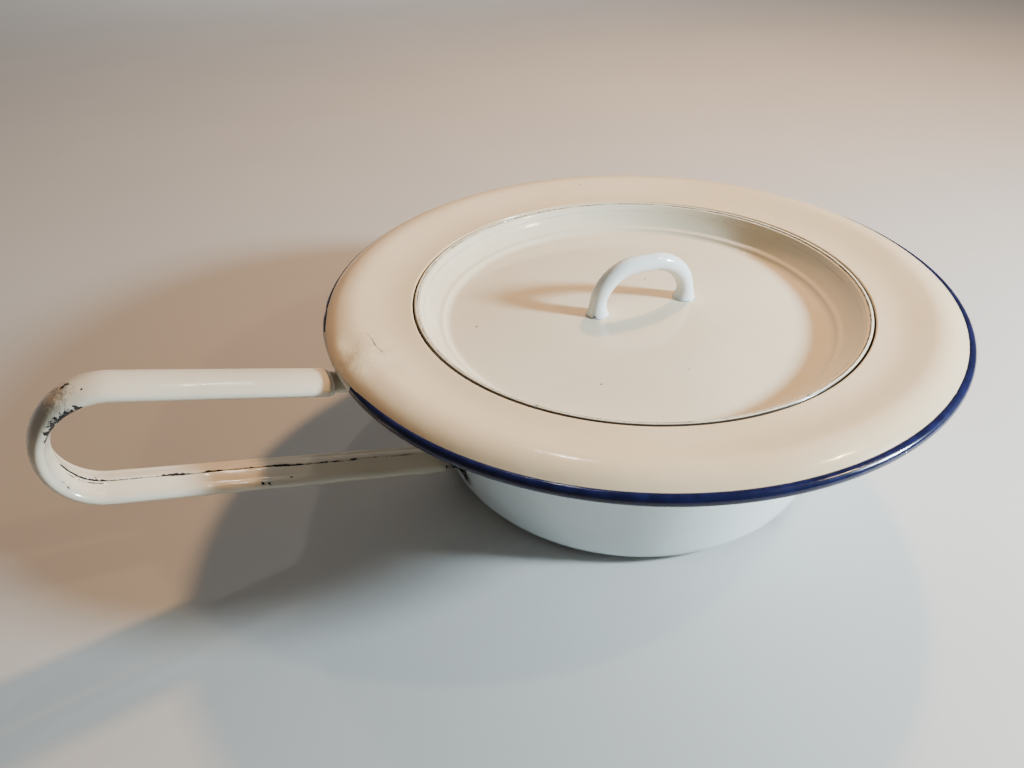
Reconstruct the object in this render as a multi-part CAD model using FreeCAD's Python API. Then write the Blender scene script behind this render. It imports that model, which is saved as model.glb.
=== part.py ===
import FreeCAD, Part
import math
import os

# Enamelled steel bedpan with a seat ring, a looped side handle and a lift-off dished lid.
# Frame: millimetres, +Z up, origin at the centre of the bowl's flat base.
# The handle reaches out along -X.

V = FreeCAD.Vector
UP = V(0, 0, 1)

# Bowl: one deep drawing with a flared wall and a wide flange under the seat.
SHEET = 1.2                     # steel with its enamel on both sides
BASE_CORNER_RADIUS = 12.0
WALL_FOOT_RADIUS = 105.3        # where the wall's line would meet the base plane
WALL_FLARE = math.radians(12)
WALL_TOP_Z = 74.0
SHOULDER_RADIUS = 22.0          # bend from wall to flange
FLANGE_END = (159.6, 96.2)      # radius and height of the flange's hidden edge

# Rolled rim round the outside, with its core wire.
RIM_RADIUS = 161.1
RIM_Z = 97.0
ROLL_RADIUS = 2.6
WIRE_RADIUS = 1.3
WIRE_CLEARANCE = 0.1
ROUND_ARCS = 12                 # a round section's edge is drawn as this many equal arcs

# Seat ring: crowned on top, with a stepped opening for the lid.
SEAT_EDGE = (160.2, 99.0)
SEAT_CROWN = (152.0, 104.8)     # corner of the crown's outline, before rounding
SEAT_LAND = (129.0, 100.0)      # corner where the crown meets the level land
CROWN_RADIUS = 14.0
LAND_RADIUS = 60.0
OPENING_X = -0.8                # the opening sits a little off the bowl's centre
OPENING_Y = -3.4
OPENING_RADIUS = 118.4
OPENING_RIM_RADIUS = 120.5      # the stepped opening starts here, on the level land
LEDGE_Z = 97.5
LIP_RADIUS = 115.1
LIP_END_Z = 90.0
OUTER_BEND = 1.6                # bends that the sheet's thickness lies inside of
INNER_BEND = 0.8

# Lid: a dish with a rolled edge that rests in the seat's opening.
LID_SHEET = 1.0
LID_EDGE_RADIUS = 117.4
LID_ROLL_RADIUS = 1.1
LID_SEAT_CLEARANCE = 0.3
LID_BROW = (114.4, 99.2)        # corners of the dish's outline, from the edge inwards
LID_HOLLOW = (110.3, 92.8)
LID_STEP = (105.4, 88.4)
LID_STEP_EDGE = (103.0, 87.8)
LID_FLOOR = (101.0, 85.4)
LID_CENTRE = (50.0, 88.6)
LID_BENDS = [1.8, 18.0, 2.0, 1.6, 2.5, 800.0]

# Grip: a bent rod standing on the lid's floor.
GRIP_ROD_RADIUS = 4.5
GRIP_HALF_SPAN = 25.7
GRIP_HEIGHT = 25.0              # floor to the rod's centre line at the top
GRIP_BEND = 17.0
GRIP_OFFSET_X = 3.7             # from the lid's centre
GRIP_OFFSET_Y = -0.8
GRIP_TURN = -6.8                # degrees about Z
GRIP_FOOT_RADIUS = 6.2
GRIP_FOOT_HEIGHT = 3.5
GRIP_BITE = 0.6                 # the legs are fused this deep into the lid's floor

# Handle: an oval tube bent the easy way into a loop that stands upright.
TUBE_HALF_WIDTH = 11.0
TUBE_HALF_DEPTH = 4.3
TUBE_WALL = 1.2
LOOP_CENTRE = (261.3, 92.7)     # distance from the bowl's axis, and height
LOOP_RADIUS = 26.0
UPPER_RISE = math.radians(17)
LOWER_RISE = math.radians(16)
UPPER_END = 165.0               # distance of each end of the tube from the bowl's axis
LOWER_END = 113.2
STUB_OVERLAP = 12.0             # length of each stub inside the tube
STUB_CLEARANCE = 0.1
UPPER_STUB_REACH = 125.0        # the stubs run on to here before the bowl trims them
LOWER_STUB_REACH = 100.0


def point(radius, z):
    """A point of a half outline, which lies in the XZ plane."""
    return V(radius, 0, z)


def rounded_path(points, radii):
    """Straight runs through the points, with a tangent arc at each inner one."""
    corners = [point(*p) for p in points]
    edges = []
    start = corners[0]
    for before, corner, after, radius in zip(corners, corners[1:], corners[2:], radii):
        back = (before - corner).normalize()
        ahead = (after - corner).normalize()
        half_angle = back.getAngle(ahead) / 2
        reach = radius / math.tan(half_angle)
        to_centre = radius / math.sin(half_angle)
        middle = (back + ahead).normalize()
        arc_start = corner + back * reach
        arc_end = corner + ahead * reach
        arc_middle = corner + middle * (to_centre - radius)
        edges.append(Part.LineSegment(start, arc_start).toShape())
        edges.append(Part.Arc(arc_start, arc_middle, arc_end).toShape())
        start = arc_end
    edges.append(Part.LineSegment(start, corners[-1]).toShape())
    return Part.Wire(edges)


def sheet_face(path, thickness):
    """The strip between an open outline and its copy set off to one side."""
    return path.makeOffset2D(thickness, 0, True, True, False)


def spun(face):
    """A solid of revolution about the Z axis."""
    return face.revolve(V(0, 0, 0), UP, 360)


def disc(radius, z, section_radius):
    """A round face in the XZ plane, its edge in equal arcs."""
    centre = point(radius, z)
    step = 360 / ROUND_ARCS
    arcs = [
        Part.makeCircle(section_radius, centre, V(0, 1, 0), k * step, (k + 1) * step)
        for k in range(ROUND_ARCS)
    ]
    return Part.Face(Part.Wire(arcs))


def bowl_outline():
    """The bowl's outer face, from the axis to the flange's edge."""
    wall_top = WALL_FOOT_RADIUS + WALL_TOP_Z * math.tan(WALL_FLARE)
    corners = [(0, 0), (WALL_FOOT_RADIUS, 0), (wall_top, WALL_TOP_Z), FLANGE_END]
    return rounded_path(corners, [BASE_CORNER_RADIUS, SHOULDER_RADIUS])


def bowl_section():
    return sheet_face(bowl_outline(), SHEET)


def bowl_envelope():
    """Everything inside the bowl's outer face, to trim what meets it."""
    end = point(*FLANGE_END)
    top = point(0, FLANGE_END[1])
    closing = [
        Part.LineSegment(end, top).toShape(),
        Part.LineSegment(top, point(0, 0)).toShape(),
    ]
    return spun(Part.Face(Part.Wire(bowl_outline().Edges + closing)))


def crown_section():
    corners = [SEAT_EDGE, SEAT_CROWN, SEAT_LAND, (LIP_RADIUS, SEAT_LAND[1])]
    return sheet_face(rounded_path(corners, [CROWN_RADIUS, LAND_RADIUS]), SHEET)


def seat_crown():
    """The crowned top of the seat, with a plain round hole off its centre."""
    hole_base = V(OPENING_X, OPENING_Y, LIP_END_Z)
    return spun(crown_section()).cut(Part.makeCylinder(OPENING_RIM_RADIUS, OPENING_RADIUS, hole_base))


def seat_step():
    """The step down into the opening: wall, ledge for the lid, and turned-down lip."""
    corners = [
        (OPENING_RIM_RADIUS, SEAT_LAND[1]),
        (OPENING_RADIUS, SEAT_LAND[1]),
        (OPENING_RADIUS, LEDGE_Z),
        (LIP_RADIUS, LEDGE_Z),
        (LIP_RADIUS, LIP_END_Z),
    ]
    bends = [OUTER_BEND, INNER_BEND, OUTER_BEND]
    step = spun(sheet_face(rounded_path(corners, bends), SHEET))
    return step.translate(V(OPENING_X, OPENING_Y, 0))


def seat_ring():
    return seat_crown().fuse(seat_step()).removeSplitter()


def rim_wire():
    return spun(disc(RIM_RADIUS, RIM_Z, WIRE_RADIUS))


def rolled_rim():
    """The roll that clamps the seat's edge and the bowl's flange round the wire."""
    section = disc(RIM_RADIUS, RIM_Z, ROLL_RADIUS)
    section = section.cut(disc(RIM_RADIUS, RIM_Z, WIRE_RADIUS + WIRE_CLEARANCE))
    section = section.cut(bowl_section()).cut(crown_section())
    return spun(max(section.Faces, key=lambda face: face.Area))


def lid_dish():
    roll_radius = LID_EDGE_RADIUS - LID_ROLL_RADIUS
    roll_z = LEDGE_Z + LID_SEAT_CLEARANCE + LID_ROLL_RADIUS
    corners = [
        (roll_radius, LID_BROW[1]),
        LID_BROW,
        LID_HOLLOW,
        LID_STEP,
        LID_STEP_EDGE,
        LID_FLOOR,
        LID_CENTRE,
        (0, LID_CENTRE[1]),
    ]
    dish = spun(sheet_face(rounded_path(corners, LID_BENDS), LID_SHEET))
    dish = dish.fuse(spun(disc(roll_radius, roll_z, LID_ROLL_RADIUS))).removeSplitter()
    return dish.translate(V(OPENING_X, OPENING_Y, 0))


def grip_foot(x):
    """The flared foot of one leg, at x along the grip."""
    base = V(x, 0, -GRIP_BITE)
    return Part.makeCone(GRIP_FOOT_RADIUS, GRIP_ROD_RADIUS, GRIP_FOOT_HEIGHT, base, UP)


def lid_grip(dish):
    corners = [
        (-GRIP_HALF_SPAN, -GRIP_BITE),
        (-GRIP_HALF_SPAN, GRIP_HEIGHT),
        (GRIP_HALF_SPAN, GRIP_HEIGHT),
        (GRIP_HALF_SPAN, -GRIP_BITE),
    ]
    path = rounded_path(corners, [GRIP_BEND, GRIP_BEND])
    section = Part.Wire(Part.makeCircle(GRIP_ROD_RADIUS, point(*corners[0]), UP))
    grip = path.makePipeShell([section], True, True)
    for side in (-1, 1):
        grip = grip.fuse(grip_foot(side * GRIP_HALF_SPAN))
    grip = grip.removeSplitter()
    grip.rotate(V(0, 0, 0), UP, GRIP_TURN)
    grip.translate(V(OPENING_X + GRIP_OFFSET_X, OPENING_Y + GRIP_OFFSET_Y, LID_CENTRE[1]))
    return grip.cut(dish)


def arm_point(side, rise, distance):
    """A point on an arm's centre line. side is 1 on the upper arm, -1 on the lower."""
    tangent_radius = LOOP_CENTRE[0] - side * LOOP_RADIUS * math.sin(rise)
    tangent_z = LOOP_CENTRE[1] + side * LOOP_RADIUS * math.cos(rise)
    z = tangent_z - (tangent_radius - distance) * math.tan(rise)
    return point(-distance, z)


def arm_bend(side, rise):
    """Where an arm runs into the end bend."""
    return arm_point(side, rise, LOOP_CENTRE[0] - side * LOOP_RADIUS * math.sin(rise))


def loop_path():
    bend_top = arm_bend(1, UPPER_RISE)
    bend_bottom = arm_bend(-1, LOWER_RISE)
    bend_tip = point(-LOOP_CENTRE[0] - LOOP_RADIUS, LOOP_CENTRE[1])
    return Part.Wire([
        Part.LineSegment(arm_point(1, UPPER_RISE, UPPER_END), bend_top).toShape(),
        Part.Arc(bend_top, bend_tip, bend_bottom).toShape(),
        Part.LineSegment(bend_bottom, arm_point(-1, LOWER_RISE, LOWER_END)).toShape(),
    ])


def oval(centre, along, half_width, half_depth):
    """An oval wire square to a direction in the XZ plane, with its width along Y."""
    across = V(0, 1, 0)
    edge = Part.Ellipse(V(0, 0, 0), half_width, half_depth).toShape()
    turn = FreeCAD.Rotation(across, across.cross(along), along)
    return Part.Wire(edge.transformGeometry(FreeCAD.Placement(centre, turn).toMatrix()))


def handle_tube():
    start = arm_point(1, UPPER_RISE, UPPER_END)
    along = (arm_bend(1, UPPER_RISE) - start).normalize()
    outside = oval(start, along, TUBE_HALF_WIDTH, TUBE_HALF_DEPTH)
    inside = oval(start, along, TUBE_HALF_WIDTH - TUBE_WALL, TUBE_HALF_DEPTH - TUBE_WALL)
    path = loop_path()
    return path.makePipeShell([outside], True, True).cut(path.makePipeShell([inside], True, True))


def handle_stub(side, rise, tube_end, reach):
    """The stub that is welded to the bowl and carries one end of the tube."""
    start = arm_point(side, rise, tube_end + STUB_OVERLAP)
    end = arm_point(side, rise, reach)
    along = (end - start).normalize()
    gap = TUBE_WALL + STUB_CLEARANCE
    section = oval(start, along, TUBE_HALF_WIDTH - gap, TUBE_HALF_DEPTH - gap)
    return Part.Face(section).extrude(end - start).cut(bowl_envelope())


def build():
    dish = lid_dish()
    return {
        "pan_bowl": spun(bowl_section()),
        "seat_ring": seat_ring(),
        "rolled_rim": rolled_rim(),
        "rim_wire": rim_wire(),
        "handle_tube": handle_tube(),
        "handle_upper_stub": handle_stub(1, UPPER_RISE, UPPER_END, UPPER_STUB_REACH),
        "handle_lower_stub": handle_stub(-1, LOWER_RISE, LOWER_END, LOWER_STUB_REACH),
        "lid_dish": dish,
        "lid_grip": lid_grip(dish),
    }


def main():
    os.makedirs("parts", exist_ok=True)
    for name, shape in build().items():
        solids = shape.Solids
        if len(solids) != 1 or not solids[0].isValid():
            raise RuntimeError(name + " is not one valid solid: " + str(len(solids)))
        solids[0].exportStep("parts/" + name + ".step")
        box = solids[0].BoundBox
        print(name, round(solids[0].Volume / 1000, 1), "cm3", box)


main()
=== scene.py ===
import math

import bpy
import numpy as np
from mathutils import Matrix, Vector


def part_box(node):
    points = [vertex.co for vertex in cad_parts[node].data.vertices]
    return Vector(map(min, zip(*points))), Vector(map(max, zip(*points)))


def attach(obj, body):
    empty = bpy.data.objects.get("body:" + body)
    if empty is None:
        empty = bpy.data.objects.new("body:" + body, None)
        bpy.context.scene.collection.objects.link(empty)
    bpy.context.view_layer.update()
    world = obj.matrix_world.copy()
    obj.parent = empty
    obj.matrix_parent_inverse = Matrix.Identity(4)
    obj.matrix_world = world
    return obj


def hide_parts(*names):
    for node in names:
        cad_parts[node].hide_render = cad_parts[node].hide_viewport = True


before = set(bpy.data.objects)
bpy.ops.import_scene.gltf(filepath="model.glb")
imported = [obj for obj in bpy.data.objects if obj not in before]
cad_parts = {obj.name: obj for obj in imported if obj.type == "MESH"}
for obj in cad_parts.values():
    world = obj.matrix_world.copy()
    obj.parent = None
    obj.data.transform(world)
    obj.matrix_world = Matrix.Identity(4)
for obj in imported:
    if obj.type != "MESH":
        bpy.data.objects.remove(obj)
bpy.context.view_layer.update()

MM = 0.001
TURN = 2 * math.pi


# ---------------------------------------------------------------- sizes, in millimetres

def box_mm(node):
    """Lowest and highest corner of a CAD node, in millimetres."""
    low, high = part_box(node)
    return low / MM, high / MM


RIM_LOW, RIM_HIGH = box_mm("rolled_rim")
LID_LOW, LID_HIGH = box_mm("lid_dish")
TUBE_LOW, TUBE_HIGH = box_mm("handle_tube")
GRIP_LOW, GRIP_HIGH = box_mm("lid_grip")

SHEET = 1.2                                     # steel with enamel on both sides
LID_SHEET = 1.0

ROLL_RADIUS = (RIM_HIGH.z - RIM_LOW.z) / 2
ROLL_Z = (RIM_HIGH.z + RIM_LOW.z) / 2
RIM_RADIUS = RIM_HIGH.x - ROLL_RADIUS

LAND_Z = LID_HIGH.z                             # the seat's land is level with the lid's edge
LID_X = (LID_LOW.x + LID_HIGH.x) / 2
LID_Y = (LID_LOW.y + LID_HIGH.y) / 2
LID_RADIUS = (LID_HIGH.x - LID_LOW.x) / 2
BEAD_RADIUS = 1.1
BEAD_CIRCLE = LID_RADIUS - BEAD_RADIUS          # radius of the circle through the bead's middle
BEAD_Z = LID_HIGH.z - BEAD_RADIUS
LID_FLOOR_Z = LAND_Z - 11.4                     # at the lid's centre

TUBE_WIDTH = TUBE_HIGH.y                        # half of the oval's width and depth
TUBE_DEPTH = 4.3
LOOP_RADIUS = 26.0
LOOP_X = TUBE_LOW.x + TUBE_DEPTH + LOOP_RADIUS
LOOP_Z = TUBE_HIGH.z - TUBE_DEPTH - LOOP_RADIUS
LOOP_CENTRE = np.array([LOOP_X, LOOP_Z])
UPPER_RISE = math.radians(17)
LOWER_RISE = math.radians(16)
UPPER_END = -165.0                              # x of the tube's two ends
LOWER_END = -113.2

GRIP_X = (GRIP_LOW.x + GRIP_HIGH.x) / 2
GRIP_Y = (GRIP_LOW.y + GRIP_HIGH.y) / 2
GRIP_ROD = 4.7
GRIP_TOP_Z = GRIP_HIGH.z - GRIP_ROD
GRIP_HALF_SPAN = 25.7
GRIP_BEND = 21.0
GRIP_TURN = math.radians(-6.8)

WALL_FOOT = 105.3                               # radius where the wall would meet the base plane
WALL_FLARE = math.radians(12)
WALL_TOP_Z = 74.0
FLANGE_END = (159.6, 96.2)
FOOT_RING = 91.0                                # radius of the bare ring that the bowl stands on

SEAT_OPENING = 118.1
SEAT_LIP = 115.1
FLOOR_SLOPE = 50.0                              # radius where the lid's floor starts to slope down


# ---------------------------------------------------------------- outlines

def rounded(corners, bends, step_degrees=6.0, spacing=3.0):
    """Points on straight runs between corners, with a tangent arc at each inner corner."""
    corners = [np.array(c, float) for c in corners]
    points = [corners[0]]

    def run_to(end):
        start = points[-1]
        count = max(1, round(np.linalg.norm(end - start) / spacing))
        for k in range(1, count + 1):
            points.append(start + (end - start) * k / count)

    for before, corner, after, radius in zip(corners, corners[1:], corners[2:], bends):
        back = (before - corner) / np.linalg.norm(before - corner)
        ahead = (after - corner) / np.linalg.norm(after - corner)
        half_angle = math.acos(float(np.clip(back @ ahead, -1, 1))) / 2
        middle = (back + ahead) / np.linalg.norm(back + ahead)
        centre = corner + middle * radius / math.sin(half_angle)
        run_to(corner + back * radius / math.tan(half_angle))
        spoke = points[-1] - centre
        side = -1 if back[0] * ahead[1] - back[1] * ahead[0] > 0 else 1
        turn = math.pi - 2 * half_angle
        count = max(3, round(math.degrees(turn) / step_degrees))
        for k in range(1, count + 1):
            cosine = math.cos(side * turn * k / count)
            sine = math.sin(side * turn * k / count)
            x = cosine * spoke[0] - sine * spoke[1]
            y = sine * spoke[0] + cosine * spoke[1]
            points.append(centre + np.array([x, y]))
    run_to(corners[-1])
    return np.array(points)


def directions(points):
    """The unit direction of a line at each of its points."""
    along = np.gradient(points, axis=0)
    return along / np.linalg.norm(along, axis=1)[:, None]


def distance_along(points):
    """How far each point of a line is from its start."""
    steps = np.linalg.norm(np.diff(points, axis=0), axis=1)
    return np.concatenate([[0], np.cumsum(steps)])


def shifted(points, distance):
    """The outline moved sideways, to the left of its direction."""
    along = directions(points)
    return points + np.column_stack([-along[:, 1], along[:, 0]]) * distance


def arc(centre, radius, start, end, count):
    """Points round a circle between two angles in degrees."""
    angles = np.radians(np.linspace(start, end, count))
    return np.array(centre) + radius * np.column_stack([np.cos(angles), np.sin(angles)])


def lifted(flat):
    """Points of the XZ plane as points in space."""
    return np.column_stack([flat[:, 0], np.zeros(len(flat)), flat[:, 1]])


def smoothstep(value, low, high):
    """Runs smoothly from 0 to 1 as value goes from low to high."""
    share = np.clip((np.asarray(value, float) - low) / (high - low), 0, 1)
    return share * share * (3 - 2 * share)


def hill(x, y, centre, radius):
    """A soft round hill, 1 at its centre."""
    return np.exp(-((x - centre[0]) ** 2 + (y - centre[1]) ** 2) / radius ** 2)


def ripple(angle, first, terms, seed):
    """A gentle closed wobble round a turn, about 1 at most."""
    draw = np.random.default_rng(seed)
    total = np.zeros_like(angle)
    for k in range(first, first + terms):
        total += draw.uniform(0.3, 1.0) * np.sin(k * angle + draw.uniform(0, TURN))
    return total / terms


# ---------------------------------------------------------------- meshes

def new_piece(name, points, faces, material, body, nodes, sharp_degrees=55.0):
    """A smooth-shaded piece from points in millimetres, on its body and in place of its CAD nodes."""
    mesh = bpy.data.meshes.new(name)
    mesh.from_pydata((np.asarray(points) * MM).tolist(), [], faces)
    mesh.update()
    mesh.shade_smooth()
    mesh.set_sharp_from_angle(angle=math.radians(sharp_degrees))
    mesh.materials.append(material)
    piece = bpy.data.objects.new(name, mesh)
    bpy.context.scene.collection.objects.link(piece)
    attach(piece, body)
    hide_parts(*nodes)
    return piece


def points_mm(piece):
    """A piece's vertices, in millimetres."""
    flat = np.empty(len(piece.data.vertices) * 3, np.float32)
    piece.data.vertices.foreach_get("co", flat)
    return flat.reshape(-1, 3) / MM


FAR = 30.0                                      # half-widths from a worn line: well clear of it
WHOLE = -2.0                                    # a chip field well away from any chip


def add_field(piece, name, values):
    """A number at each vertex, which the piece's material reads."""
    field = piece.data.attributes.new(name, "FLOAT", "POINT")
    field.data.foreach_set("value", np.asarray(values, np.float32))


def add_chips(piece, chips, face=True):
    """Where the enamel has come off: each chip is (x, y, z, radius). 1 at a chip's centre, 0 at its edge.
    face says which vertices can be chipped."""
    points = points_mm(piece)
    field = np.full(len(points), WHOLE)
    for x, y, z, radius in chips:
        away = np.linalg.norm(points - np.array([x, y, z]), axis=1)
        field = np.maximum(field, 1 - away / radius)
    add_field(piece, "chip", np.where(face, field, WHOLE))


def grid_faces(rows, columns, close_rows):
    """Quads over a grid of points whose rows are closed rings."""
    faces = []
    for row in range(rows if close_rows else rows - 1):
        near = row * columns
        far = ((row + 1) % rows) * columns
        for this in range(columns):
            after = (this + 1) % columns
            faces.append((near + this, near + after, far + after, far + this))
    return faces


def capped(faces, rows, columns):
    """The faces, with the first and last ring closed."""
    first = tuple(reversed(range(columns)))
    last = tuple((rows - 1) * columns + j for j in range(columns))
    return faces + [first, last]


def revolved(outline, place, segments):
    """Points and faces of an outline spun about Z: a closed loop, or a line with both ends on the axis."""
    has_poles = abs(outline[0][0]) < 1e-6
    body = outline[1:-1] if has_poles else outline
    rows = len(body)
    angle = np.tile(np.arange(segments) * TURN / segments, rows)
    points = place(np.repeat(body[:, 0], segments), np.repeat(body[:, 1], segments), angle)
    faces = grid_faces(rows, segments, not has_poles)
    if has_poles:
        ends = place(np.zeros(2), outline[[0, -1], 1], np.zeros(2))
        first, last = len(points), len(points) + 1
        points = np.vstack([points, ends])
        ring = (rows - 1) * segments
        for this in range(segments):
            after = (this + 1) % segments
            faces.append((first, after, this))
            faces.append((last, ring + this, ring + after))
    return points, faces


def swept(line, inward, sections):
    """Points and faces of a closed tube along a line in the XZ plane: at each of the line's points, a
    ring of offsets along Y and inwards."""
    rows, columns = sections.shape[:2]
    points = (
        lifted(line)[:, None, :]
        + sections[:, :, :1] * np.array([0.0, 1.0, 0.0])
        + sections[:, :, 1:] * lifted(inward)[:, None, :]
    ).reshape(-1, 3)
    return points, capped(grid_faces(rows, columns, False), rows, columns)


def round_place(radius, z, angle):
    """Points at these radii, heights and angles round the Z axis."""
    return np.column_stack([radius * np.cos(angle), radius * np.sin(angle), z])


# ---------------------------------------------------------------- material nodes

class Sheet:
    """One material's nodes. An input is a number, a colour, or the socket that feeds it."""

    def __init__(self, name):
        self.material = bpy.data.materials.new(name)
        self.material.use_nodes = True
        self.tree = self.material.node_tree
        self.tree.nodes.clear()
        self.place = self.add("ShaderNodeTexCoord").outputs["Object"]

    def add(self, kind, inputs=None, **settings):
        node = self.tree.nodes.new(kind)
        for key, value in settings.items():
            setattr(node, key, value)
        for key, value in (inputs or {}).items():
            if isinstance(value, bpy.types.NodeSocket):
                self.tree.links.new(value, node.inputs[key])
            else:
                node.inputs[key].default_value = value
        return node

    def calc(self, operation, a, b=0.0):
        return self.add("ShaderNodeMath", {0: a, 1: b}, operation=operation).outputs[0]

    def noise(self, scale, detail=3.0, roughness=0.5):
        inputs = {"Vector": self.place, "Scale": scale, "Detail": detail, "Roughness": roughness}
        return self.add("ShaderNodeTexNoise", inputs).outputs[0]

    def fade(self, value, low, high, start=0.0, end=1.0):
        """Runs smoothly from start to end as value goes from low to high."""
        inputs = {"Value": value, "From Min": low, "From Max": high, "To Min": start, "To Max": end}
        return self.add("ShaderNodeMapRange", inputs, interpolation_type="SMOOTHSTEP").outputs[0]

    def blend(self, factor, a, b):
        """Colour a where factor is 0, b where it is 1."""
        node = self.add("ShaderNodeMix", data_type="RGBA")
        for key, value in ((0, factor), (6, a), (7, b)):
            if isinstance(value, bpy.types.NodeSocket):
                self.tree.links.new(value, node.inputs[key])
            elif key == 0:
                node.inputs[key].default_value = value
            else:
                node.inputs[key].default_value = (*value, 1.0)
        return node.outputs[2]

    def field(self, name):
        return self.add("ShaderNodeAttribute", attribute_name=name).outputs["Fac"]

    def specks(self, scale, size, share):
        """Small dots, about size across: one in a share of the cells of a cell pattern."""
        inputs = {"Vector": self.place, "Scale": scale}
        cells = self.add("ShaderNodeTexVoronoi", inputs)
        split = self.add("ShaderNodeSeparateColor", {"Color": cells.outputs["Color"]})
        chosen = self.calc("LESS_THAN", split.outputs[0], share)
        reach = self.calc("MULTIPLY", split.outputs[1], size * scale)
        dot = self.calc("LESS_THAN", cells.outputs["Distance"], reach)
        return self.calc("MULTIPLY", chosen, dot)

    def cracks(self, scale):
        """Thin lines between ragged cells, 1 on a line."""
        bend = self.add("ShaderNodeTexNoise", {"Vector": self.place, "Scale": scale, "Detail": 3.0})
        moved = self.add("ShaderNodeMix", {0: 0.006}, data_type="VECTOR")
        self.tree.links.new(self.place, moved.inputs[4])
        self.tree.links.new(bend.outputs["Color"], moved.inputs[5])
        inputs = {"Vector": moved.outputs[1], "Scale": scale}
        cells = self.add("ShaderNodeTexVoronoi", inputs, feature="DISTANCE_TO_EDGE")
        return self.fade(cells.outputs["Distance"], 0.0, 0.12, 1.0, 0.0)

    def bump(self, height, distance, normal=None):
        inputs = {"Height": height, "Distance": distance}
        if normal is not None:
            inputs["Normal"] = normal
        return self.add("ShaderNodeBump", inputs).outputs[0]

    def finish(self, colour, roughness, normal, metallic=0.0):
        shader = self.add("ShaderNodeBsdfPrincipled", {
            "Base Color": colour,
            "Roughness": roughness,
            "Normal": normal,
            "Metallic": metallic,
        })
        output = self.add("ShaderNodeOutputMaterial")
        self.tree.links.new(shader.outputs[0], output.inputs[0])
        return self.material


GROUND_COAT = (0.006, 0.005, 0.006)             # what shows where the top enamel is off
RUST = (0.060, 0.024, 0.010)
CHALK = (0.62, 0.60, 0.55)
# Dark of dirt in the pinholes and the roll's crevice, and painted shade in recesses, gaps and crevices.
GRIME_AND_SHADE = (0.035, 0.030, 0.026)
TAN_FILM = (0.50, 0.42, 0.30)
TAN_SPECK = (0.30, 0.19, 0.09)
CRACK = (0.12, 0.08, 0.05)
RUBBED = (0.46, 0.38, 0.28)

GLAZE_ROUGHNESS = 0.11
BARE_ROUGHNESS = 0.85


def chipped(sheet, colour, gloss, loss):
    """Enamel with its chips: bare dark ground coat with rust, inside a chalky broken edge."""
    rust = sheet.fade(sheet.noise(900.0), 0.52, 0.66)
    bare = sheet.blend(rust, GROUND_COAT, RUST)
    colour = sheet.blend(sheet.fade(loss, 0.30, 0.46, 0.0, 0.75), colour, CHALK)
    colour = sheet.blend(sheet.fade(loss, 0.46, 0.52), colour, bare)
    return colour, sheet.fade(loss, 0.38, 0.52, gloss, BARE_ROUGHNESS)


def worn_line(sheet, line, ragged):
    """How much enamel is lost along a line. Its field is the distance from it in half-widths."""
    wander = sheet.fade(sheet.noise(90.0, 4.0, 0.7), 0.3, 0.7, -0.35, 0.55)
    near = sheet.calc("SUBTRACT", 1.0, sheet.calc("ABSOLUTE", sheet.field(line)))
    return sheet.calc("ADD", near, sheet.calc("ADD", wander, sheet.calc("MULTIPLY", ragged, 0.5)))


def scuffed(sheet, scuff, crazed, colour, gloss, relief):
    """Enamel that a blow has crumpled: cracked, rubbed dull and uneven. crazed is how dark the cracks are,
    and how uneven it is."""
    amount = sheet.field(scuff)
    broken = sheet.fade(sheet.noise(380.0, 4.0, 0.7), 0.42, 0.60)
    crazing = sheet.calc("MULTIPLY", sheet.cracks(330.0), sheet.calc("MULTIPLY", amount, broken))
    colour = sheet.blend(sheet.fade(crazing, 0.2, 0.8, 0.0, crazed), colour, CRACK)
    rubbed = sheet.calc("MULTIPLY", sheet.fade(sheet.noise(150.0, 5.0, 0.7), 0.45, 0.65), amount)
    colour = sheet.blend(sheet.calc("MULTIPLY", rubbed, crazed), colour, RUBBED)
    gloss = sheet.calc("ADD", gloss, sheet.calc("MULTIPLY", rubbed, 0.20))
    crumple = sheet.calc("MULTIPLY", sheet.noise(170.0, 4.0), amount)
    split = sheet.bump(crazing, -0.0006 * crazed, relief)
    return colour, gloss, sheet.bump(crumple, 0.0004 + 0.0024 * crazed, split)


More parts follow.
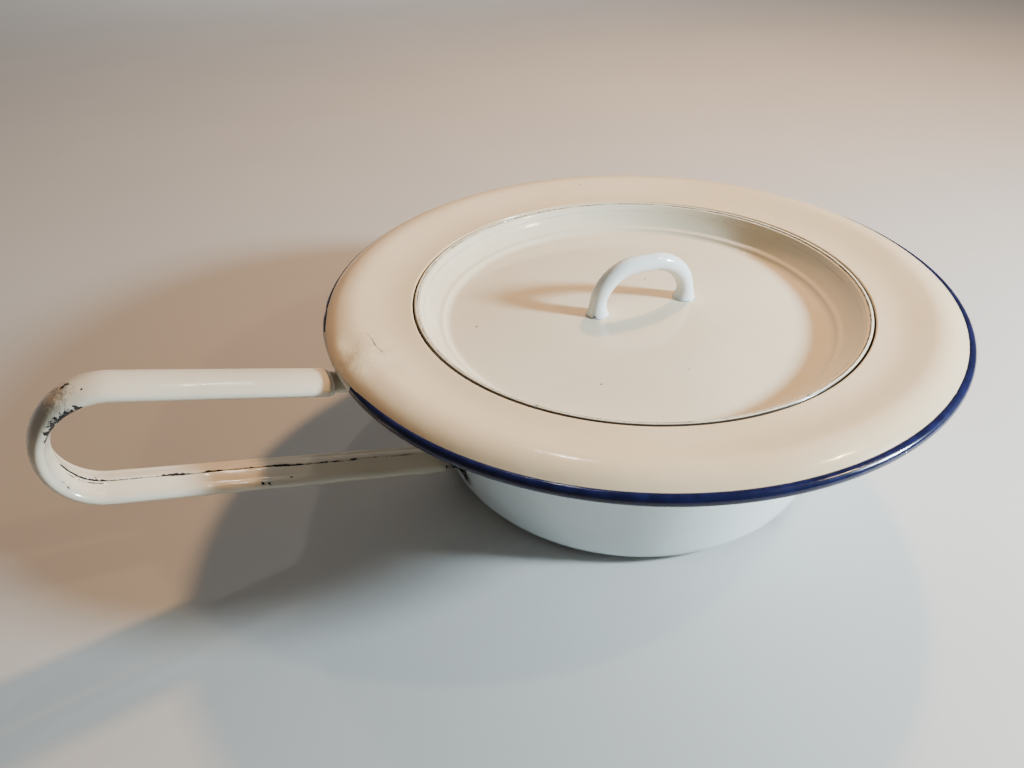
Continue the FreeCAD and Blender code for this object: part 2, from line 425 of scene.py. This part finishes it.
def enamel(name, light, dark, line=None, grime=None, scuff=None, crazed=0.5, peel=(75.0, 0.00016)):
    """Glassy enamel on steel: faint clouds, pinholes and chips, and a worn line, painted shade and a scuff
    where it has them, which name their fields. peel is the fineness and height of the glaze's ripples."""
    sheet = Sheet(name)
    clouds = sheet.fade(sheet.noise(11.0, 4.0), 0.32, 0.70)
    colour = sheet.blend(clouds, dark, light)
    film = sheet.fade(sheet.noise(46.0, 5.0, 0.6), 0.50, 0.78, 0.0, 0.16)
    colour = sheet.blend(film, colour, TAN_FILM)
    handled = sheet.noise(33.0, 5.0, 0.65)
    gloss = sheet.fade(handled, 0.35, 0.75, GLAZE_ROUGHNESS, GLAZE_ROUGHNESS + 0.10)

    pinholes = sheet.specks(95.0, 0.00075, 0.10)
    colour = sheet.blend(sheet.calc("MULTIPLY", pinholes, 0.85), colour, GRIME_AND_SHADE)
    tan = sheet.specks(60.0, 0.0010, 0.07)
    colour = sheet.blend(sheet.calc("MULTIPLY", tan, 0.35), colour, TAN_SPECK)

    ragged = sheet.fade(sheet.noise(720.0, 5.0, 0.75), 0.3, 0.7, -0.6, 0.6)
    loss = sheet.calc("ADD", sheet.calc("ADD", sheet.field("chip"), ragged), 0.22)
    if line:
        loss = sheet.calc("MAXIMUM", loss, worn_line(sheet, line, ragged))
    # Painted shade: darkened in patches where the named field is high.
    if grime:
        patchy = sheet.calc("ADD", sheet.field(grime), sheet.calc("MULTIPLY", ragged, 0.25))
        colour = sheet.blend(sheet.fade(patchy, 0.1, 0.9), colour, GRIME_AND_SHADE)
    relief = sheet.bump(sheet.noise(peel[0], 2.0), peel[1])
    if scuff:
        colour, gloss, relief = scuffed(sheet, scuff, crazed, colour, gloss, relief)
    colour, gloss = chipped(sheet, colour, gloss, loss)

    fine = sheet.bump(sheet.noise(600.0, 2.0), 0.000012, relief)
    pits = sheet.bump(pinholes, -0.0003, fine)
    relief = sheet.bump(sheet.fade(loss, 0.38, 0.52), -0.00035, pits)
    return sheet, colour, gloss, relief


def plain_enamel(name, light, dark, **wear):
    """Enamel of one colour, clouded from light to dark."""
    sheet, colour, gloss, relief = enamel(name, light, dark, **wear)
    return sheet.finish(colour, gloss, relief)


# The bowl's and grip's white: partly the enamel's own white, partly painted cool daylight.
def white_enamel(name, **wear):
    return plain_enamel(name, (0.78, 0.83, 0.83), (0.72, 0.77, 0.77), **wear)


def warm_enamel(name, **wear):
    """The handle's warm white: partly the enamel's own off-white, partly painted warm lamplight."""
    return plain_enamel(name, (0.64, 0.56, 0.44), (0.56, 0.48, 0.36), **wear)


# The seat's cream: partly the enamel's own colour, partly painted warm lamplight.
def cream_enamel(name, **wear):
    return plain_enamel(name, (0.76, 0.60, 0.40), (0.70, 0.53, 0.33), **wear)


def lid_enamel(name, **wear):
    """A paler cream than the seat's: partly the enamel's own colour, partly painted warm lamplight."""
    return plain_enamel(name, (0.76, 0.67, 0.52), (0.70, 0.60, 0.44), **wear)


def rim_enamel(name):
    """Cobalt blue over the roll, hand-painted, with the white it was put on showing at its edges."""
    sheet, white, gloss, relief = enamel(name, (0.78, 0.70, 0.57), (0.72, 0.63, 0.49))
    streaks = sheet.fade(sheet.noise(160.0, 4.0), 0.35, 0.7)
    blue = sheet.blend(streaks, (0.006, 0.007, 0.034), (0.010, 0.012, 0.060))
    ragged = sheet.fade(sheet.noise(260.0, 4.0, 0.7), 0.25, 0.75, -0.7, 0.7)
    inside = sheet.calc("ADD", sheet.field("blue"), ragged)
    paint = sheet.fade(inside, -0.1, 0.15)
    whole = sheet.fade(sheet.calc("ADD", sheet.field("chip"), ragged), -0.1, 0.15, 1.0, 0.0)
    colour = sheet.blend(sheet.calc("MULTIPLY", paint, whole), white, blue)
    # Dirt and painted shade in the crevice where the seat's edge meets the roll: a dark line along the
    # roll's inner top.
    crevice = sheet.calc("ADD", sheet.field("crevice"), sheet.calc("MULTIPLY", ragged, 0.5))
    colour = sheet.blend(sheet.fade(crevice, 0.0, 0.5), colour, GRIME_AND_SHADE)
    edge = sheet.bump(paint, 0.00012, relief)
    return sheet.finish(colour, sheet.calc("ADD", gloss, 0.04), edge)


def plain_steel(name):
    """Drawn wire, grey and lightly rusted."""
    sheet = Sheet(name)
    rust = sheet.fade(sheet.noise(300.0, 5.0, 0.7), 0.48, 0.68)
    colour = sheet.blend(rust, (0.42, 0.41, 0.40), RUST)
    scratches = sheet.bump(sheet.noise(900.0, 3.0), 0.00003)
    return sheet.finish(colour, sheet.fade(rust, 0.0, 1.0, 0.32, 0.8), scratches, metallic=0.9)


def matt_floor(name):
    """A plain pale surface, very slightly clouded."""
    sheet = Sheet(name)
    pale = (0.50, 0.485, 0.465)
    duller = tuple(0.97 * part for part in pale)
    shade = sheet.blend(sheet.fade(sheet.noise(6.0), 0.3, 0.7), pale, duller)
    return sheet.finish(shade, 0.55, sheet.bump(sheet.noise(300.0), 0.00005))


# ---------------------------------------------------------------- the pan

def bowl_outline():
    wall_top = WALL_FOOT + WALL_TOP_Z * math.tan(WALL_FLARE)
    corners = [(0, 0.7), (80, 0.7), (87, 0), (WALL_FOOT, 0), (wall_top, WALL_TOP_Z), FLANGE_END]
    return rounded(corners, [8, 8, 12, 22], spacing=2.5)


# A dark crescent round the handle's lower weld, on the bowl and on the weld, drawn as bare metal.
LOWER_WELD_DARK_SPOTS = [(-110.5, -9.5, 29, 8.0), (-109.6, -12.0, 24, 8.0), (-108.8, -13.8, 18, 6.0)]


def make_bowl(segments=360):
    """One deep drawing, with a foot ring round its slightly raised base."""
    outer = bowl_outline()
    inner = shifted(outer, SHEET)
    inner[0] = (0, outer[0][1] + SHEET)

    def place(radius, z, angle):
        wobble = 0.3 * ripple(angle, 2, 5, 11) * smoothstep(z, 6, 40) * (1 - smoothstep(radius, 140, 156))
        return round_place(radius + wobble, z, angle)

    points, faces = revolved(np.vstack([outer, inner[::-1]]), place, segments)
    material = white_enamel("bowl_enamel", line="foot")
    bowl = new_piece("bowl_shell", points, faces, material, "pan", ["pan_bowl"])
    radius = np.hypot(points[:, 0], points[:, 1])
    is_foot = (points[:, 2] < 0.6) & (radius > 84)
    add_field(bowl, "foot", np.where(is_foot, np.abs(radius - FOOT_RING) / 2.2, FAR))
    add_chips(bowl, [
        *LOWER_WELD_DARK_SPOTS, (-109.5, 11, 22, 4.0), (-148, 9, 87, 4.0), (30, -101, 2.0, 4.5), (88, 52, 2.5, 3.5),
        (-60, 84, 2.0, 4.0), (104, -31, 6, 2.2),
    ], face=np.arange(len(points)) < len(outer) * segments)


def seat_overlap(angle):
    """How far the seat's edge laps over the roll: most at the back and over the handle."""
    at_back = 0.9 * (1 + np.cos(angle - math.radians(102)))
    over_handle = 1.5 * np.exp(-((angle - math.radians(179)) / 0.20) ** 2)
    return at_back + over_handle + 0.1


def seat_dents(x, y):
    """The knocks in the crown above the handle."""
    hollows = 1.1 * hill(x, y, (-152, 8), 8) + 0.8 * hill(x, y, (-146, -16), 8)
    hollows += 0.5 * hill(x, y, (-143, 0), 5)
    return 0.6 * hill(x, y, (-150, -4), 5) - hollows


def place_seat(radius, z, angle):
    """The outline turned to its place, with the opening a little off the bowl's centre."""
    overlap = seat_overlap(angle)
    z = z + 0.22 * overlap * smoothstep(radius, 150, 160)
    radius = radius + overlap * smoothstep(radius, 143, 160)
    x = radius * np.cos(angle)
    y = radius * np.sin(angle)
    off_centre = 1 - smoothstep(radius, 121, 150)
    on_crown = smoothstep(radius, 124, 132) * (1 - smoothstep(radius, 153, 161))
    z = z + on_crown * (seat_dents(x, y) + 0.22 * ripple(angle, 2, 7, 21))
    return np.column_stack([x + off_centre * LID_X, y + off_centre * LID_Y, z])


def seat_outline():
    ledge_z = LAND_Z - 2.5
    corners = [
        (160.2, 99.0), (152.0, 104.8), (129.0, LAND_Z), (SEAT_OPENING, LAND_Z),
        (SEAT_OPENING, ledge_z), (SEAT_LIP, ledge_z), (SEAT_LIP, LAND_Z - 10),
    ]
    top = rounded(corners, [17, 60, 0.8, 0.7, 1.4], spacing=1.5)
    return np.vstack([top, shifted(top, SHEET)[::-1]])


def seat_scratch(x, y, z):
    """The scratch across the crown above the handle, in half-widths: widest at its near end."""
    near_y, far_y = -5, 15
    beside = x + 141.8 + 0.08 * (y - 6) + 0.3 * np.sin(0.5 * y)
    along = np.clip((y - near_y) / (far_y - near_y), 0, 1)
    on_scratch = (y > near_y) & (y < far_y) & (x < -130) & (z > 100)
    return np.where(on_scratch, beside / (0.10 + 0.25 * (1 - along)), FAR)


def make_seat():
    """The seat: crowned, with a stepped opening for the lid."""
    points, faces = revolved(seat_outline(), place_seat, 480)
    material = cream_enamel("seat_enamel", line="scratch", grime="grime", scuff="scuff", crazed=0.05)
    seat = new_piece("seat_shell", points, faces, material, "pan", ["seat_ring"])
    x, y, z = points.T
    in_step = (np.hypot(x - LID_X, y - LID_Y) < SEAT_OPENING + 0.5) & (z < LAND_Z - 0.8)
    add_field(seat, "scuff", np.clip(1.6 * hill(x, y, (-149, -4), 15), 0, 1) * (z > 98))
    # Painted shade down the step and ledge of the lid's opening.
    add_field(seat, "grime", np.where(in_step, 1.0, 0.0))
    add_field(seat, "scratch", seat_scratch(x, y, z))
    add_chips(seat, [(-147.5, -18, 104, 0.8), (96, 98, 104.5, 0.7), (-30, 139, 105, 0.8)])


def make_rim(segments=720):
    """The roll round the outside. Its blue is missing over the handle."""
    section = arc((RIM_RADIUS, ROLL_Z), ROLL_RADIUS, 0, 360, 41)[:-1]

    def place(radius, z, angle):
        swell = 1 + 0.03 * ripple(angle, 9, 8, 31)
        over_handle = np.exp(-((angle - math.pi) / 0.13) ** 2)
        knocked = 0.5 * over_handle + 0.4 * np.exp(-((angle - 2.80) / 0.03) ** 2)
        new_radius = RIM_RADIUS + (radius - RIM_RADIUS) * swell - knocked
        return round_place(new_radius, ROLL_Z + (z - ROLL_Z) * swell, angle)

    points, faces = revolved(section, place, segments)
    material = rim_enamel("rim_enamel")
    rim = new_piece("blue_roll", points, faces, material, "pan", ["rolled_rim"])
    angle = np.degrees(np.tile(np.arange(segments) * TURN / segments, len(section)))
    around = np.repeat(np.arange(len(section)) * 360.0 / len(section), segments)
    round_rim = RIM_RADIUS * math.radians(1)    # millimetres to a degree round the rim, and round the roll
    round_roll = ROLL_RADIUS * math.radians(1)
    clear_of_handle = (np.abs(angle - 178.0) - 9.3) * round_rim
    painted = np.where(around > 180, around - 236, 124 - around) * round_roll
    add_field(rim, "blue", np.minimum(clear_of_handle, painted))
    # Dirt and painted shade along the roll's inner top, in the crevice at the seat's edge.
    add_field(rim, "crevice", np.where(around < 180, around - 121, -30) * round_roll)
    add_chips(rim, [
        (-160.5, 31.0, ROLL_Z + 0.8, 1.4), (-163.0, 4.0, ROLL_Z, 1.0),
        (20, -163.4, ROLL_Z + 1, 0.9), (150, -65, ROLL_Z + 1, 1.1), (60, 152, ROLL_Z + 1, 1.2),
    ])


# ---------------------------------------------------------------- the handle

def arm_line(rise, side):
    """Where an arm leaves the bend, its direction towards the pan, and the direction square to it and up,
    all in the XZ plane. side is 1 for the upper arm and -1 for the lower."""
    along = np.array([math.cos(rise), -math.sin(rise)])
    upright = np.array([-along[1], along[0]])
    return LOOP_CENTRE + side * LOOP_RADIUS * upright, along, upright


def loop_line(spacing=0.8):
    """The handle's centre line from its upper end to its lower, and the inward direction at each point."""
    top, upper, over_upper = arm_line(UPPER_RISE, 1)
    bottom, lower, over_lower = arm_line(LOWER_RISE, -1)
    first = np.arange(0, (UPPER_END - top[0]) / upper[0], spacing)[::-1]
    last = np.arange(0, (LOWER_END - bottom[0]) / lower[0], spacing)
    turn = np.linspace(math.pi / 2 - UPPER_RISE, 3 * math.pi / 2 - LOWER_RISE, 118)[1:-1]
    spokes = np.column_stack([np.cos(turn), np.sin(turn)])
    points = np.vstack([
        top + first[:, None] * upper,
        LOOP_CENTRE + LOOP_RADIUS * spokes,
        bottom + last[:, None] * lower,
    ])
    inward = np.vstack([
        np.tile(-over_upper, (len(first), 1)),
        -spokes,
        np.tile(over_lower, (len(last), 1)),
    ])
    return points, inward


def smooth_noise(run, wavelength, seed):
    """A wandering value along a line, about -1 to 1."""
    draw = np.random.default_rng(seed)
    knots = draw.uniform(-1, 1, int(run[-1] / wavelength) + 4)
    place = run / wavelength
    knot = place.astype(int)
    share = smoothstep(place - knot, 0, 1)
    return knots[knot] * (1 - share) + knots[knot + 1] * share


def tube_section():
    """The oval across the tube: how far each point is across it, and how deep, with inwards positive. Its
    inner half is a little roofed, and has more points near the seam."""
    outer = np.radians(np.linspace(180, 360, 49)[:-1])
    half_turn = np.linspace(-1, 1, 73)
    inner = np.radians(90 + 90 * half_turn * (0.35 + 0.65 * np.abs(half_turn)))
    turn = np.concatenate([outer, inner[:-1]])
    across = TUBE_WIDTH * np.cos(turn)
    depth = TUBE_DEPTH * np.sin(turn)
    share = np.abs(across) / TUBE_WIDTH
    roof = TUBE_DEPTH * (1 - share)
    roofed = 0.5 * (1 - smoothstep(share, 0.55, 0.95)) * (depth > 0)
    return across, depth * (1 - roofed) + roof * roofed


def tube_ends(run):
    """The tube's share of its full width and depth at each point. Both ends are rounded off and pinched,
    the lower one more."""
    on_lower = run > run[-1] / 2
    from_end = np.minimum(run, run[-1] - run)
    shoulder = np.where(on_lower, 7.0, 3.4)
    least = np.where(on_lower, 0.45, 0.72)
    closing = np.sqrt(np.clip(1 - (1 - np.clip(from_end / shoulder, 0, 1)) ** 2, 0, 1))
    return least + (1 - least) * closing, 0.58 + 0.42 * closing


# Where the seam's enamel is off more widely, each with a half-length and a half-width. On the lower arm
# the first number is the distance from the pan's axis, and on the upper arm it is along the tube.
LOWER_WEAR = [
    (289, 6, 0.35), (277, 8, 0.45), (262, 6, 0.35), (244, 6, 0.9), (228, 4, 0.9), (212, 2, 0.5),
    (195, 9, 0.8), (175, 5, 0.8), (163, 2, 0.7), (150, 3, 0.3), (134, 4, 0.3),
]
UPPER_WEAR = [(18, 5, 0.6), (47, 8, 0.7), (70, 3, 0.5), (88, 6, 0.8)]


def seam_wear(run, away):
    """The distance from the bare strip along the seam, in half-widths, or from a second one beside it."""
    bare = 0.24 + 0.08 * smooth_noise(run, 6, 7)
    worn = []
    for distance, half_length, half_width in LOWER_WEAR:
        where = run[-1] - (distance + LOWER_END) / math.cos(LOWER_RISE)
        worn.append((where, half_length, half_width))
    for where, half_length, half_width in worn + UPPER_WEAR:
        bare += half_width * np.exp(-((run - where) / half_length) ** 4)
    past_second = 1 - np.exp(-((run - run[-1] + 172) / 20) ** 4)
    second = np.abs(away + 1.7) + 3 * past_second[:, None]
    return np.minimum(np.abs(away) / bare[:, None], second / 0.32)


def spot_on_bend(degrees, y, toward_inside=1.0):
    """A spot on the bend: the angle round the loop's centre, and how far across. toward_inside is 1 for
    its inner face and -1 for its outer."""
    reach = LOOP_RADIUS - toward_inside * TUBE_DEPTH * math.sqrt(1 - (y / TUBE_WIDTH) ** 2)
    angle = math.radians(degrees)
    return LOOP_X + reach * math.cos(angle), y, LOOP_Z + reach * math.sin(angle)


def spot_on_lower(distance, y):
    """A spot on the inner face of the lower arm, at a distance from the pan's axis."""
    start, along, upright = arm_line(LOWER_RISE, -1)
    lift = TUBE_DEPTH * math.sqrt(1 - (y / TUBE_WIDTH) ** 2)
    x, z = start + along * (-distance - start[0]) / along[0] + upright * lift
    return x, y, z


def handle_chips():
    """A ragged row along the near edge of the bend, and a few more on its outside and the lower arm."""
    inner = [
        (98, -10.6, 1.3), (102, -10.8, 1.9), (106, -10.4, 2.2), (109, -10.9, 2.0), (113, -10.5, 2.6),
        (117, -10.8, 1.8), (122, -10.5, 2.7), (126, -10.8, 2.3), (130, -10.2, 2.6), (134, -10.0, 2.0),
        (137, -10.7, 1.8), (141, -9.2, 2.2), (146, -9.8, 1.3), (158, -4.5, 0.9), (205, -7.5, 1.1),
        (211, -8.6, 1.0), (238, 2.0, 0.8),
    ]
    outer = [
        (93, -5.5, 0.7), (104, 2.0, 1.6), (107, 1.0, 1.1), (122, 4.0, 0.9), (187, -3.0, 1.0),
        (231, -6.0, 1.2),
    ]
    lower = [(208, -9.8, 1.1), (205, -10.2, 0.9), (195, -8.0, 0.8), (117.5, -10.3, 1.3)]
    return [
        *((*spot_on_bend(degrees, y), size) for degrees, y, size in inner),
        *((*spot_on_bend(degrees, y, -1.0), size) for degrees, y, size in outer),
        *((*spot_on_lower(distance, y), size) for distance, y, size in lower),
    ]


def make_handle():
    """An oval tube folded round from strip: its seam runs along the inside of the loop."""
    line, inward = loop_line()
    run = distance_along(line)
    across, depth = tube_section()
    width_share, depth_share = tube_ends(run)
    seam = 0.9 * smooth_noise(run, 38, 3) + 0.25 * smooth_noise(run, 9, 4)
    away = across[None, :] - seam[:, None]
    on_inside = (depth > 0.4 * TUBE_DEPTH)[None, :]
    gape = 0.35 + 0.25 * smooth_noise(run, 14, 5)[:, None]
    groove = np.where(on_inside, 0.55 * np.exp(-(away / gape) ** 2), 0)
    sections = np.empty((len(run), len(across), 2))
    sections[:, :, 0] = across * width_share[:, None]
    sections[:, :, 1] = (depth[None, :] - groove) * depth_share[:, None]
    wander = 0.2 * smooth_noise(run, 60, 6)
    points, faces = swept(line + inward * wander[:, None], inward, sections)

    material = warm_enamel("handle_enamel", line="seam", scuff="scuff", crazed=0.35, peel=(190.0, 0.00018))
    handle = new_piece("handle_loop", points, faces, material, "pan", ["handle_tube"])
    add_field(handle, "seam", np.where(on_inside, seam_wear(run, away), FAR / 2).ravel())
    from_patch = np.linalg.norm(points - np.array(spot_on_bend(113, -1.5, -1.0)), axis=1)
    add_field(handle, "scuff", np.clip(1.6 * np.exp(-(from_patch / 7.5) ** 2), 0, 1))
    add_chips(handle, handle_chips())


def distance_to_bowl(start, direction):
    """How far a point can go before it meets the bowl's outer face."""
    outline = bowl_outline()

    def inside(distance):
        x, y, z = start + direction * distance
        radius = math.hypot(x, y)
        return radius < FLANGE_END[0] and z > np.interp(radius, outline[:, 0], outline[:, 1])

    step, furthest, halvings = 0.5, 200, 14
    high = 0.0
    while not inside(high) and high < furthest:
        high += step
    low = high - step
    for _ in range(halvings):
        middle = (low + high) / 2
        if inside(middle):
            high = middle
        else:
            low = middle
    return high


def make_stub(name, rise, side, end_x, node, chips):
    """The bar inside one end of the tube, welded to the bowl with a fillet that runs out on its wall."""
    fillet = 3.2
    in_tube = 9.0
    bite = 0.6                                  # into the bowl's sheet
    half_width = TUBE_WIDTH - 2.4
    half_depth = TUBE_DEPTH - 1.4
    bend, arm, upright = arm_line(rise, side)
    hidden_end = bend + arm * (end_x - in_tube - bend[0]) / arm[0]
    origin, direction, upward = lifted(np.array([hidden_end, arm, upright]))
    turn = np.radians(np.arange(0, 360, 6))
    gaps = [14.0 * share ** 1.4 for share in np.linspace(1, 0, 12)] + [-bite]

    def ring(flare, gap):
        """A ring across the bar, this far short of the bowl; at the bar's hidden end if gap is None."""
        spots = []
        for angle in turn:
            spot = origin + (half_width + flare) * math.cos(angle) * np.array([0, 1.0, 0])
            spot = spot + (half_depth + flare) * math.sin(angle) * upward
            if gap is not None:
                spot = spot + direction * (distance_to_bowl(spot, direction) - gap)
            spots.append(spot)
        return spots

    rings = [ring(0.0, None)]
    for gap in gaps:
        reach = fillet - np.clip(gap, 0.0, fillet)
        rings.append(ring(fillet - math.sqrt(fillet ** 2 - reach ** 2), gap))
    points = np.array(rings).reshape(-1, 3)
    columns = len(turn)
    faces = capped(grid_faces(len(rings), columns, False), len(rings), columns)
    material = warm_enamel(name + "_enamel", line="weld", grime="grime")
    stub = new_piece(name, points, faces, material, "pan", [node])
    add_field(stub, "weld", (np.repeat([20.0] + gaps, columns) - 0.2) / 0.5)
    # Painted shade where the bar goes into the tube, fading away from the tube's end.
    from_tube = np.abs(points[:, 0] - end_x)
    add_field(stub, "grime", 0.75 * np.exp(-from_tube / 1.5))
    add_chips(stub, chips)


# ---------------------------------------------------------------- the lid

def lid_outline():
    """From the centre out over the top, round the bead on the edge and back underneath."""
    brow_z = BEAD_Z + 0.3
    corners = [
        (BEAD_CIRCLE - 1.0, brow_z), (BEAD_CIRCLE - 1.9, brow_z), (110.3, LAND_Z - 7.2),
        (105.4, LAND_Z - 11.6), (103.0, LAND_Z - 12.2), (101.0, LAND_Z - 14.6),
        (FLOOR_SLOPE, LID_FLOOR_Z), (0, LID_FLOOR_Z),
    ]
    top = rounded(corners, [0.9, 18, 3.2, 2.6, 4.5, 800], step_degrees=8.0, spacing=2.0)
    under = shifted(top, LID_SHEET)
    under[-1] = (0, LID_FLOOR_Z - LID_SHEET)
    bead = arc((BEAD_CIRCLE, BEAD_Z), BEAD_RADIUS, 192, -140, 27)
    return np.vstack([top[::-1], bead, under[1:]])


def place_lid(radius, z, angle):
    """The outline turned to its place, with a floor that sags unevenly."""
    in_floor = (1 - smoothstep(radius, 105, 116)) * smoothstep(radius, 10, 70)
    sag = 0.35 * ripple(angle, 2, 4, 41) * in_floor
    return round_place(radius, z + sag, angle) + np.array([LID_X, LID_Y, 0])


def make_lid():
    """The dished lid: a beaded edge, a sloping wall, a step and a slightly crowned floor."""
    points, faces = revolved(lid_outline(), place_lid, 480)
    material = lid_enamel("lid_enamel", line="bead_line", grime="grime")
    lid = new_piece("lid_shell", points, faces, material, "lid", ["lid_dish"])
    x, y = points[:, 0] - LID_X, points[:, 1] - LID_Y
    radius = np.hypot(x, y)
    angle = np.arctan2(y, x)

    # A dark line on top just inside the bead, wider and further out towards the front.
    toward_front = 0.5 + 0.5 * np.cos(angle - math.radians(245))
    on_top = points[:, 2] > BEAD_Z - 2.2
    line_radius = BEAD_CIRCLE - 0.95 + 0.55 * toward_front
    half_width = 0.10 + 0.26 * toward_front
    add_field(lid, "bead_line", np.where(on_top, (radius - line_radius) / half_width, FAR))

    # Painted shade in the gap round the lid: the bead's outer edge darkened, from further in on the left.
    toward_left = 0.5 + 0.5 * np.cos(angle - math.radians(205))
    grime_from = BEAD_CIRCLE + 0.80 - 0.45 * toward_left
    add_field(lid, "grime", smoothstep(radius, grime_from, grime_from + 0.3))

    chips = []
    for degrees, size in (
        (216, 1.5), (224, 1.1), (232, 0.9), (248, 1.4), (262, 0.9), (276, 1.3), (31, 0.9),
    ):
        spot = math.radians(degrees)
        reach = LID_RADIUS - 1.6
        chips.append((LID_X + reach * math.cos(spot), LID_Y + reach * math.sin(spot), LAND_Z - 0.6, size))
    add_chips(lid, chips)


def make_grip():
    """A bent rod welded to the lid's floor on flared feet."""
    foot_z = LID_FLOOR_Z - 0.4
    corners = [
        (-GRIP_HALF_SPAN, foot_z), (-GRIP_HALF_SPAN, GRIP_TOP_Z),
        (GRIP_HALF_SPAN, GRIP_TOP_Z), (GRIP_HALF_SPAN, foot_z),
    ]
    line = rounded(corners, [GRIP_BEND, GRIP_BEND], step_degrees=3.0, spacing=0.8)
    along = directions(line)
    inward = np.column_stack([along[:, 1], -along[:, 0]])
    run = distance_along(line)
    from_foot = np.minimum(run, run[-1] - run)
    flare = 1.9 * np.exp(-(from_foot / 2.2) ** 1.2)
    waist = 0.25 * np.exp(-((from_foot - 9) / 4) ** 2)
    size = GRIP_ROD + flare - waist
    turn = np.radians(np.arange(0, 360, 7.5))
    lumps = 1 + 0.012 * ripple(turn, 2, 4, 51)
    sections = np.empty((len(run), len(turn), 2))
    sections[:, :, 0] = size[:, None] * (np.cos(turn) * lumps)[None, :]
    sections[:, :, 1] = size[:, None] * (np.sin(turn) * lumps)[None, :]
    points, faces = swept(line, inward, sections)
    cosine, sine = math.cos(GRIP_TURN), math.sin(GRIP_TURN)
    x, y, z = points.T
    points = np.column_stack([cosine * x - sine * y + GRIP_X, sine * x + cosine * y + GRIP_Y, z])
    material = white_enamel("grip_enamel", line="foot")
    grip = new_piece("grip_rod", points, faces, material, "lid", ["lid_grip"])
    add_field(grip, "foot", np.repeat((from_foot - 0.7) / 0.15, len(turn)))
    add_chips(grip, [(GRIP_X - GRIP_HALF_SPAN - 4.5, GRIP_Y - 2, LID_FLOOR_Z + 1.5, 1.6)])


# ---------------------------------------------------------------- floor, light and camera

def make_floor():
    """A wide plane, in metres, just under the pan's base."""
    half, z = 6.0, -0.0002
    corners = [(-half, -half, z), (half, -half, z), (half, half, z), (-half, half, z)]
    mesh = bpy.data.meshes.new("floor")
    mesh.from_pydata(corners, [], [(0, 1, 2, 3)])
    mesh.materials.append(matt_floor("floor_matt"))
    floor = bpy.data.objects.new("floor", mesh)
    bpy.context.scene.collection.objects.link(floor)


def soft_light(name, place, target, size, watts, colour):
    """A round lamp, size across, that shines from a place at a target."""
    light = bpy.data.lights.new(name, "AREA")
    light.shape = "DISK"
    light.size = size
    light.energy = watts
    light.color = colour
    lamp = bpy.data.objects.new(name, light)
    lamp.location = place
    lamp.rotation_euler = (Vector(target) - Vector(place)).to_track_quat("-Z", "Y").to_euler()
    bpy.context.scene.collection.objects.link(lamp)
    return lamp


MIDDLE = (0.0, 0.0, 0.08)                       # of the pan, in metres


def spot_at(azimuth, elevation, distance):
    """A place round the object: azimuth from +X towards +Y, in degrees, and metres from its middle."""
    heading = math.radians(azimuth)
    height = math.radians(elevation)
    level = distance * math.cos(height)
    return (
        level * math.cos(heading),
        level * math.sin(heading),
        distance * math.sin(height) + MIDDLE[2],
    )


def make_lights():
    """A warm lamp behind, a cool window at the right, two small lamps for the highlights, and a light on
    the floor in the background."""
    lamp = soft_light("lamp", spot_at(34, 46, 1.30), MIDDLE, 0.12, 20, (1.0, 0.56, 0.25))
    lamp.visible_glossy = False
    soft_light("window", spot_at(317, 24, 0.85), MIDDLE, 0.12, 24, (0.72, 0.90, 1.0))
    soft_light("glint", (0.32, -0.295, 0.53), MIDDLE, 0.03, 1.0, (1.0, 0.74, 0.36))
    soft_light("spark", (0.28, 0.65, 1.12), MIDDLE, 0.05, 1.2, (1.0, 0.95, 0.88))
    backdrop = soft_light("backdrop", (0.9, 2.7, 1.5), (0.9, 2.7, 0.0), 1.6, 50, (1.0, 0.97, 0.93))
    backdrop.visible_glossy = False


def make_surroundings():
    """Dim light from all round, palest at the horizon and darkest overhead."""
    world = bpy.data.worlds.new("studio")
    bpy.context.scene.world = world
    world.use_nodes = True
    tree = world.node_tree
    background = tree.nodes["Background"]
    height = tree.nodes.new("ShaderNodeSeparateXYZ")
    place = tree.nodes.new("ShaderNodeTexCoord")
    ramp = tree.nodes.new("ShaderNodeValToRGB")
    ramp.color_ramp.elements[0].color = (0.74, 0.77, 0.80, 1)
    ramp.color_ramp.elements[1].color = (0.34, 0.33, 0.32, 1)
    tree.links.new(place.outputs["Generated"], height.inputs[0])
    tree.links.new(height.outputs[2], ramp.inputs[0])
    tree.links.new(ramp.outputs[0], background.inputs[0])
    background.inputs[1].default_value = 0.20


def make_camera():
    """The photograph's view."""
    heading = math.radians(65.9)                # of the view, from +X towards +Y
    tilt = math.radians(35.26)                  # downwards
    roll = math.radians(2.14)                   # clockwise
    ahead = Vector((
        math.cos(heading) * math.cos(tilt),
        math.sin(heading) * math.cos(tilt),
        -math.sin(tilt),
    ))
    level = Vector((math.sin(heading), -math.cos(heading), 0))
    up = level.cross(ahead)
    right = level * math.cos(roll) - up * math.sin(roll)
    up = right.cross(ahead)
    data = bpy.data.cameras.new("camera")
    data.sensor_width = 36.0
    data.lens = 27.04
    camera = bpy.data.objects.new("camera", data)
    place = Matrix.Translation((-0.2097, -0.3052, 0.2953))
    turn = Matrix((right, up, -ahead)).transposed()
    camera.matrix_world = place @ turn.to_4x4()
    bpy.context.scene.collection.objects.link(camera)
    bpy.context.scene.camera = camera


make_bowl()
make_seat()
make_rim()
make_handle()
make_stub("upper_stub", UPPER_RISE, 1, UPPER_END, "handle_upper_stub", [(-160, -6, 82, 2.4)])
make_stub("lower_stub", LOWER_RISE, -1, LOWER_END, "handle_lower_stub", LOWER_WELD_DARK_SPOTS)
make_lid()
make_grip()
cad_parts["rim_wire"].material_slots[0].material = plain_steel("core_wire_steel")
make_floor()
make_lights()
make_surroundings()
make_camera()
